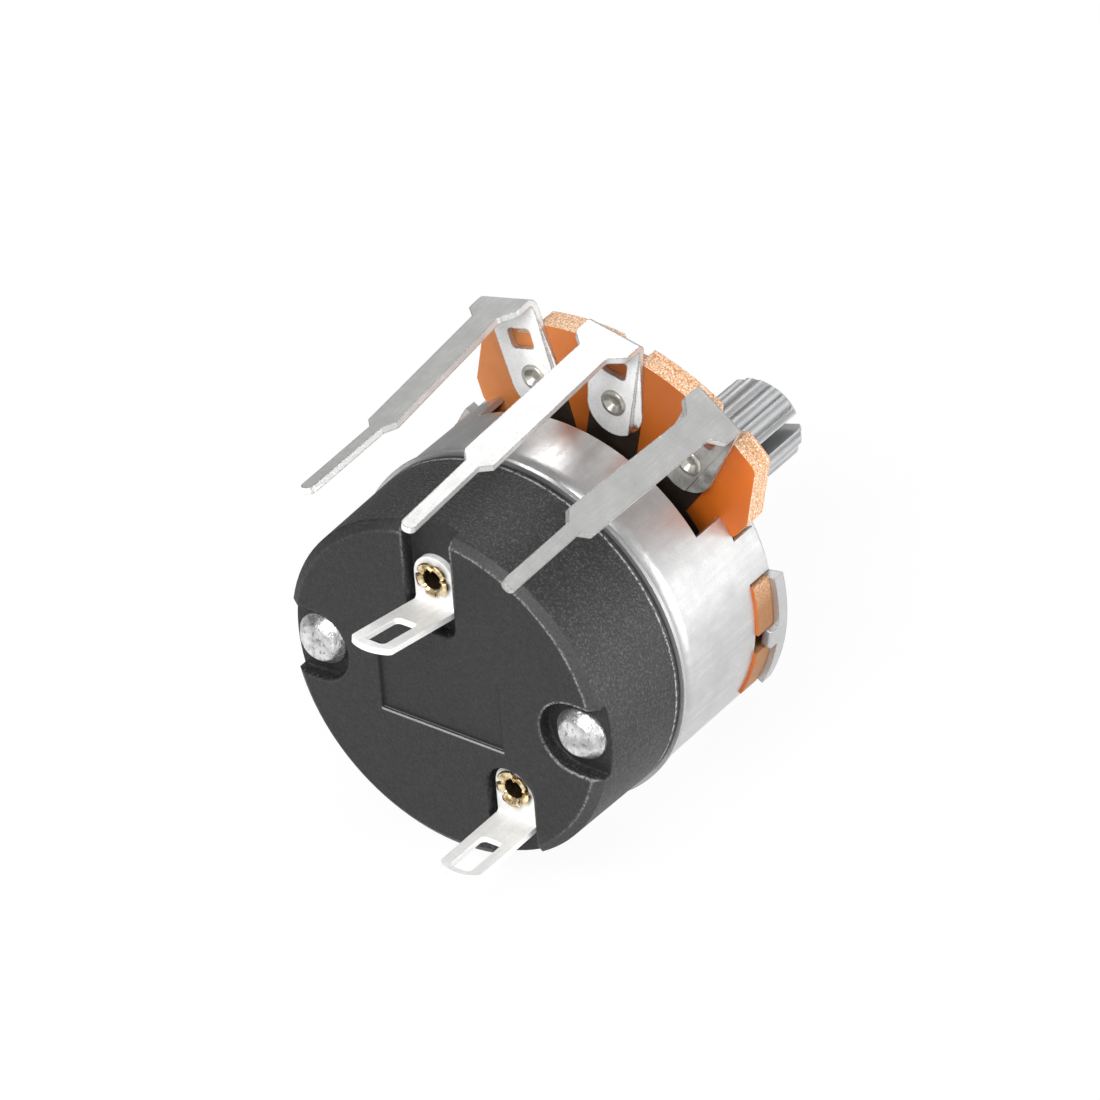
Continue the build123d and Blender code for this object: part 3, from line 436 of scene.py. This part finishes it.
def board_face(look, x):
    """Varnished orange with painted light laid across it: a painted sheen makes it pale on the left,
    painted shade makes it darker in the middle, and it is brighter on the right where the light falls.
    """
    stain, speck = (0.46, 0.1, 0.012), (0.4, 0.08, 0.01)
    # Painted light from left to right across the board
    place = look.span(x, -BOARD_SIDE, BOARD_SIDE, 0.0, 1.0)
    varnish_and_light = look.ramp(
        place,
        (0.2, (0.74, 0.26, 0.075)),
        (0.4, (0.45, 0.118, 0.019)),
        (0.66, (0.41, 0.102, 0.014)),
        (0.86, (0.68, 0.15, 0.012)),
    )
    cloud = look.ramp(look.noise(2.2), (0.35, 0.3), (0.65, 0.0))
    specks = look.ramp(look.noise(0.1, rough=0.7), (0.3, 0.25), (0.4, 0.0))
    return look.mix(specks, look.mix(cloud, varnish_and_light, stain), speck)


def board_edge(look, z, grit):
    """Pale, gritty cut edge of the paper, darker lower down in the side windows, as painted shade."""
    painted_shade_brown = (0.3, 0.13, 0.045)
    edge = look.ramp(
        grit,
        (0.42, (0.42, 0.14, 0.03)),
        (0.5, (0.74, 0.4, 0.18)),
        (0.58, (0.96, 0.84, 0.72)),
    )
    # Painted shade on the edge low in the side windows
    low = look.span(z, BOARD_WINDOW_FROM, BOARD_WINDOW_TO, 0.92, 0.0)
    return look.mix(low, edge, painted_shade_brown)


def phenolic():
    """Paper laminate: smooth varnished faces and pale fibrous cut edges."""
    look = Look("phenolic", specular=0.35, coat=0.12)
    x, _, z = look.parts(look.place)
    flat = look.ramp(look.facing(), (0.55, 0.0), (0.8, 1.0))
    fibres = look.noise(0.11, detail=5.0, rough=0.85)
    layers = look.noise(0.2, stretch=(30, 1, 30), detail=2.0)
    grit = look.math("ADD", look.product(fibres, 0.92), look.product(layers, 0.08))
    color = look.mix(flat, board_edge(look, z, grit), board_face(look, x))
    look.soften(0.08)
    look.bump(grit, 0.06, 0.6)
    return look.done(color, look.span(flat, 0, 1, 0.6, 0.36))


def plain(name, dark, light, rough, metallic, size):
    """Small and inner pieces: mottled colour with a fine grain, both scaled by a size."""
    look = Look(name, metallic=metallic)
    grain = look.noise(size * 0.3)
    color = look.mottle(look.noise(size * 3), 0.3, 0.7, dark, light)
    look.soften(0.06)
    look.bump(grain, 0.008, 0.5)
    return look.done(color, look.span(grain, 0.3, 0.7, rough - 0.08, rough + 0.08))


def make_materials():
    """Every finish by name: the record's slots and the two in OWN_FINISHES."""
    made = {
        "black_plastic": black_plastic(),
        "tinplate": tinplate(),
        "zinc_plate": zinc_plate(),
        "tinned_metal": tinned_metal(),
        "lug_metal": lug_metal(),
        "rivet_metal": rivet_metal(),
        "brass": brass(),
        "phenolic": phenolic(),
    }
    for name, base, rough in (
        ("shaft_metal", (0.46, 0.465, 0.47), 0.46),
        ("bushing_metal", grey(0.6), 0.24),
    ):
        made[name] = turned_metal(name, base, rough)
    for name, dark, light, rough, metallic, size in (
        ("dull_rivet", (0.4, 0.385, 0.35), (0.74, 0.72, 0.66), 0.36, 0.75, 0.25),
        ("carbon_film", (0.016, 0.011, 0.008), (0.045, 0.03, 0.022), 0.45, 0.0, 0.5),
        ("clip_steel", (0.32, 0.32, 0.33), (0.45, 0.45, 0.46), 0.32, 1.0, 0.5),
        ("moulding", (0.03, 0.018, 0.012), (0.06, 0.04, 0.028), 0.5, 0.0, 0.5),
        ("fibre", (0.2, 0.11, 0.05), (0.32, 0.19, 0.1), 0.75, 0.0, 0.5),
        ("spring_bronze", (0.5, 0.33, 0.15), (0.7, 0.5, 0.27), 0.26, 1.0, 0.5),
    ):
        made[name] = plain(name, dark, light, rough, metallic, size)
    return made


def dress(materials):
    """Gives each CAD node the finish that the record names, or its own one."""
    for entry in frame["record"]["subparts"]:
        name, finish = entry["node"], entry["material_slot"]
        for start, own in OWN_FINISHES.items():
            if name.startswith(start):
                finish = own
        mesh = nodes[name].data
        mesh.materials.clear()
        mesh.materials.append(materials[finish])


# Pieces

def add_mesh(name, made, material, smooth=40):
    """Object from a bmesh, shaded smooth up to an angle in degrees."""
    bmesh.ops.recalc_face_normals(made, faces=made.faces)
    mesh = bpy.data.meshes.new(name)
    made.to_mesh(mesh)
    made.free()
    mesh.materials.append(material)
    mesh.shade_smooth()
    mesh.set_sharp_from_angle(angle=math.radians(smooth))
    piece = bpy.data.objects.new(name, mesh)
    bpy.context.scene.collection.objects.link(piece)
    return piece


def around(count):
    """Directions round the Y axis, in radians."""
    return [FULL_TURN * i / count for i in range(count)]


def ring_point(radius, y, angle, x=0.0, z=0.0):
    """Point on a circle round the Y axis, from millimetres along it and out from a centre in metres."""
    return (x + radius * MM * math.sin(angle), y * MM, z + radius * MM * math.cos(angle))


def skin(made, profiles):
    """Skin over rings of points, joined one after the other and the last to the first."""
    rows = [[made.verts.new(point) for point in ring] for ring in profiles]
    rows.append(rows[0])
    for first, second in zip(rows, rows[1:]):
        for i in range(len(first)):
            j = (i + 1) % len(first)
            made.faces.new((first[i], first[j], second[j], second[i]))


def threaded_bushing(materials):
    """The bushing with its panel thread, in place of the plain cylinder. Sizes in millimetres."""
    radius, bore, length, chamfer, bore_chamfer = 4.5, 3.04, 7.0, 0.5, 0.15
    spigot_radius, spigot_rear = 4.0, -0.9
    stake_radius, stake_rear, stake_chamfer = 4.7, -1.4, 0.3
    pitch, depth, flank, valley = 0.75, 0.42, 2.4, 0.1
    collar, collar_chamfer = 0.25, 0.05
    thread_start, run_in, thread_rings, steps = 0.7, 0.4, 110, 96
    root = radius - depth
    angles = around(steps)

    def circle(r, y):
        return [ring_point(r, y, angle) for angle in angles]

    def thread_point(y, angle):
        phase = (y / pitch - angle / FULL_TURN) % 1.0
        crest = min(1.0, max(0.0, flank * abs(phase - 0.5) - valley))
        fade = min(1.0, max(0.0, (y - thread_start) / run_in))
        end = radius - chamfer + (length - y)
        return ring_point(min(root + depth * crest * fade, end), y, angle)

    first_ring = thread_start - 0.1
    places = [first_ring + (length - first_ring) * i / thread_rings for i in range(thread_rings + 1)]
    rows = [
        circle(bore, stake_rear),
        circle(stake_radius - stake_chamfer, stake_rear),
        circle(stake_radius, spigot_rear),
        circle(spigot_radius, spigot_rear),
        circle(spigot_radius, 0),
        circle(radius, 0),
        circle(radius, collar),
        circle(root, collar + collar_chamfer),
        *([thread_point(y, angle) for angle in angles] for y in places),
        circle(bore + bore_chamfer, length),
        circle(bore, length - bore_chamfer),
    ]
    made = bmesh.new()
    skin(made, rows)
    piece = add_mesh("threaded_bushing", made, materials["bushing_metal"])
    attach(piece, "housing")
    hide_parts("bushing")


def eyelet(name, node, seed, materials):
    """Brass eyelet whose flare has split into uneven petals, in place of the plain one."""
    rng = random.Random(seed)
    low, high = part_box(node)
    centre = (low + high) / 2
    front, rear = high.y / MM, low.y / MM
    bore, shank, flare = 0.6, 0.88, 1.35
    split_width, split_depth, split_drop = 0.26, 0.46, 0.14
    lift_share = 0.6
    petals, steps = 5, 45
    # Where the petals are cut apart, how far each is lifted and how much it falls short
    cuts = [FULL_TURN * (i + rng.uniform(-0.16, 0.16)) / petals for i in range(petals)]
    lifts = [rng.uniform(-0.08, 0.1) for _ in range(petals)]
    reaches = [rng.uniform(-0.16, 0.0) for _ in range(petals)]
    angles = around(steps)
    # Radius, place along the axis, share of the petal's own shape, share of the split
    profile = (
        (shank, front, 0.0, 0.0),
        (shank, rear + 0.5, 0.0, 0.0),
        (shank + 0.05, rear + 0.42, 0.3, 0.4),
        (flare - 0.12, rear + 0.36, 0.8, 0.9),
        (flare, rear + 0.26, 1.0, 1.0),
        (flare - 0.06, rear + 0.12, 1.0, 1.0),
        (flare - 0.3, rear + 0.04, 0.8, 0.9),
        (shank + 0.02, rear + 0.1, 0.3, 0.4),
        (bore + 0.08, rear + 0.28, 0.05, 0.1),
        (bore, rear + 0.6, 0.0, 0.0),
        (bore, front, 0.0, 0.0),
    )

    def petal_at(angle):
        """Which petal a direction is on, and its distance from the nearest cut at the rim."""
        owner = min(range(petals), key=lambda i: (angle - cuts[i]) % FULL_TURN)
        nearest = min(abs((angle - cut + math.pi) % FULL_TURN - math.pi) for cut in cuts)
        return owner, nearest * flare

    def petal_point(radius, y, share, split, angle):
        owner, distance = petal_at(angle)
        notch = max(0.0, 1 - distance / split_width) * split
        radius += share * reaches[owner] - split_depth * notch
        y += share * lift_share * max(0.0, lifts[owner]) + split_drop * notch
        return ring_point(max(bore, radius), min(y, front), angle, centre.x, centre.z)

    made = bmesh.new()
    rows = [[petal_point(*step, angle) for angle in angles] for step in profile]
    skin(made, rows)
    piece = add_mesh(name, made, materials["brass"], smooth=28)
    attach(piece, "housing")
    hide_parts(node)


# Camera, light and background

def make_camera():
    """Camera at the photograph's place."""
    right = Vector((0.8067, 0.5822, 0.1014))
    up = Vector((-0.4493, 0.4928, 0.7452))
    forward = Vector((-0.3839, 0.6467, -0.6591))
    place = Vector((193.29, -334.17, 336.59)) * MM
    data = bpy.data.cameras.new("camera")
    data.sensor_width = 36
    data.lens = 270.86
    camera = bpy.data.objects.new("camera", data)
    bpy.context.scene.collection.objects.link(camera)
    turn = Matrix((right, up, -forward)).transposed().to_4x4()
    camera.matrix_world = Matrix.Translation(place) @ turn
    bpy.context.scene.camera = camera


def area_light(name, toward, distance, width, height, power):
    """Soft lamp in a direction from the object, aimed at it. Sizes in millimetres, power in watts."""
    data = bpy.data.lights.new(name, "AREA")
    data.shape = "RECTANGLE"
    data.size, data.size_y = width * MM, height * MM
    data.energy = power
    lamp = bpy.data.objects.new(name, data)
    bpy.context.scene.collection.objects.link(lamp)
    aim = Vector(toward).normalized()
    centre = Vector((0, BODY_MIDDLE, 0))
    lamp.location = centre + aim * distance * MM
    lamp.rotation_euler = aim.to_track_quat("Z", "Y").to_euler()


def make_lights():
    for name, toward, distance, width, height, power in (
        ("key", (-0.50, 0.65, 0.56), 260, 110, 110, 0.215),
        ("softbox", (0.76, 0.60, 0.14), 280, 150, 150, 0.03),
        ("side", (0.92, 0.2, 0.33), 280, 100, 140, 0.5),
        ("front", (0.0, -0.7, 0.7), 320, 180, 180, 1.08),
    ):
        area_light(name, toward, distance, width, height, power)


class Backdrop(Graph):
    """Node tree of the world or the floor, which knows what kind of ray sees it."""

    def __init__(self, tree):
        super().__init__(tree)
        path = tree.nodes.new("ShaderNodeLightPath").outputs
        self.to_camera = path["Is Camera Ray"]
        self.in_gloss = self.math("MAXIMUM", path["Is Glossy Ray"], path["Is Transmission Ray"])


def make_world():
    """White to the camera; to the object, a studio that is darker on the left and overhead."""
    world = bpy.data.worlds.new("world")
    bpy.context.scene.world = world
    world.use_nodes = True
    sky = Backdrop(world.node_tree)
    x, _, z = sky.parts(sky.coordinates("Generated"))
    darker_left = sky.span(x, -0.75, 0.3, 0.28, 0.93)
    darker_overhead = sky.span(z, 0.3, 0.62, 1.0, 0.45)
    dimmer_as_light = sky.span(sky.in_gloss, 0, 1, 0.55, 1.0)
    level = sky.product(darker_left, darker_overhead, dimmer_as_light)
    background = world.node_tree.nodes["Background"].inputs
    background["Color"].default_value = (1, 1, 1, 1)
    sky.feed(sky.math("MAXIMUM", level, sky.to_camera), background["Strength"])


def floor_material():
    """Matt white that also glows for the camera and in gloss, less so behind the object.

    What the glow doesn't cover keeps the object's soft shadow.
    """
    glow_share = 0.93
    material = bpy.data.materials.new("floor")
    material.use_nodes = True
    material.node_tree.nodes.clear()
    ground = Backdrop(material.node_tree)
    x, y, _ = ground.parts(ground.coordinates("Object"))
    behind = ground.math("SUBTRACT", y, x)
    level = ground.span(behind, 5 * MM, 50 * MM, 0.85, 0.2)
    level = ground.math("MAXIMUM", level, ground.to_camera)
    seen = ground.math("MAXIMUM", ground.to_camera, ground.in_gloss)
    matt = ground.node("ShaderNodeBsdfDiffuse", {"Color": grey(0.95)})
    glow = ground.node("ShaderNodeEmission", {"Strength": level})
    share = ground.product(seen, glow_share)
    both = ground.node("ShaderNodeMixShader", {0: share, 1: matt, 2: glow})
    output = ground.tree.nodes.new("ShaderNodeOutputMaterial")
    ground.feed(both, output.inputs["Surface"])
    return material


def make_floor():
    """Pale round floor just under the object."""
    made = bmesh.new()
    bmesh.ops.create_circle(made, cap_ends=True, segments=96, radius=FLOOR_RADIUS)
    mesh = bpy.data.meshes.new("floor")
    made.to_mesh(mesh)
    made.free()
    mesh.materials.append(floor_material())
    floor = bpy.data.objects.new("floor", mesh)
    floor.location.z = cad_box[0].z - FLOOR_GAP
    bpy.context.scene.collection.objects.link(floor)


make_camera()
materials = make_materials()
dress(materials)
threaded_bushing(materials)
eyelet("eyelet_petals_upper", "eyelet_upper", 4, materials)
eyelet("eyelet_petals_lower", "eyelet_lower", 9, materials)
make_lights()
make_world()
make_floor()
bpy.context.scene.view_settings.view_transform = "Standard"
